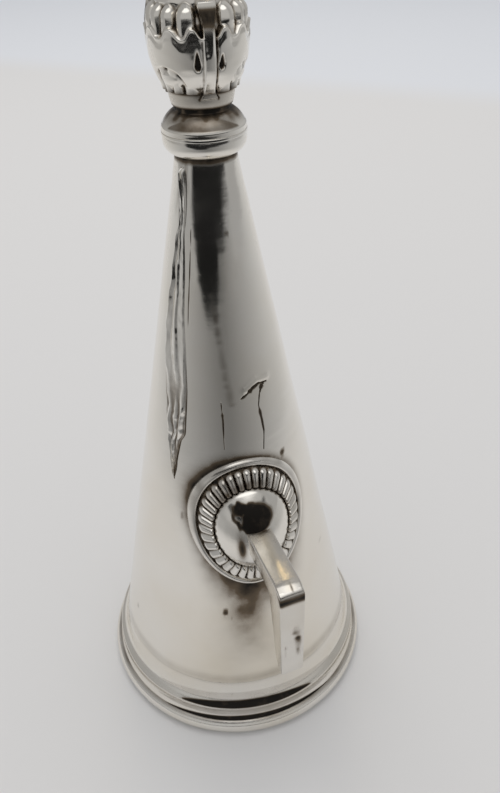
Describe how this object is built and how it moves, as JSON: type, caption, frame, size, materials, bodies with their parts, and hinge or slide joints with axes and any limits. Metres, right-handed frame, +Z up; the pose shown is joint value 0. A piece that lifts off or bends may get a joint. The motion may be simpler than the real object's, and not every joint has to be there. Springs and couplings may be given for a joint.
{
  "type": "candle extinguisher",
  "caption": "Hollow conical silver candle extinguisher with a moulded foot, leaf bud finial and a side hook on a gadrooned rosette; its mouth covers a flame to put it out.",
  "frame": {"origin": "centre of the mouth, on the plane that the foot rests on", "axes": "+Z up along the cone's axis to the finial, -Y out along the hook, +X to the right of someone who faces the hook"},
  "size_m": [0.0332, 0.0377, 0.0803],
  "materials": {
    "silver_sheet": "worn polish",
    "silver_solder": "rough run of solder",
    "silver_foot": "worn polish",
    "silver_collar": "worn polish",
    "silver_cast": "cast and chased, dark in the hollows",
    "silver_rosette": "stamped, dark in the grooves",
    "silver_hook": "worn polish"
  },
  "bodies": {
    "root": {"cone_shell": "silver_sheet", "seam_solder": "silver_solder", "rim_wire": "silver_foot", "base_moulding": "silver_foot", "collar_cup": "silver_collar", "collar_cap": "silver_collar", "finial_foot": "silver_cast", "finial_bud": "silver_cast", "locating_peg": "silver_cast", "rosette_plate": "silver_rosette", "gadroon_ring": "silver_rosette", "boss_cap": "silver_rosette", "hook": "silver_hook"}
  },
  "joints": []
}
